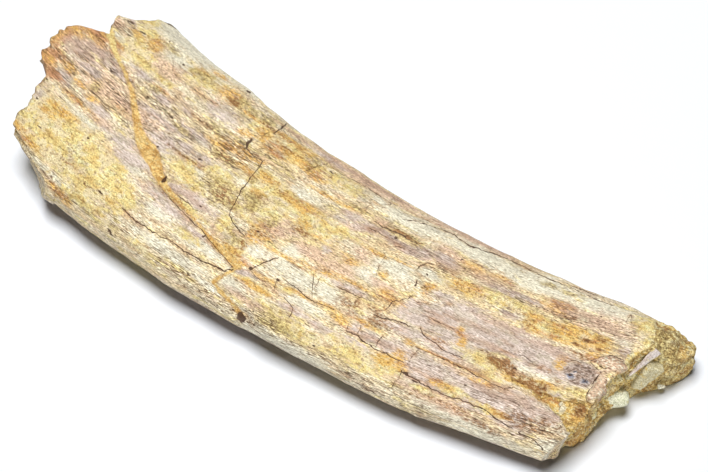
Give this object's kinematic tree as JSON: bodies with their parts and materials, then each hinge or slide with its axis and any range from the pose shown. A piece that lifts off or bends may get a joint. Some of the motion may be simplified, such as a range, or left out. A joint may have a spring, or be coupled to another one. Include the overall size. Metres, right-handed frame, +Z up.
{
  "type": "fossil dinosaur rib",
  "caption": "Length of fossil dinosaur rib shaft, a gently bowed rounded strap of petrified bone broken at both ends, with sandy rock cemented onto it.",
  "frame": {"origin": "middle of the bounding box on the surface that the rib lies on", "axes": "+X along the shaft from the ragged end to the broken end filled with rock, +Y towards the concave edge, +Z up from the flat side it rests on"},
  "size_m": [0.193, 0.0662, 0.0221],
  "materials": {
    "petrified_bone": "dry petrified bone in cream and mauve with fine lengthwise grain, ochre sandy rock and rust stains"
  },
  "bodies": {
    "root": {"rib": "petrified_bone"}
  },
  "joints": []
}
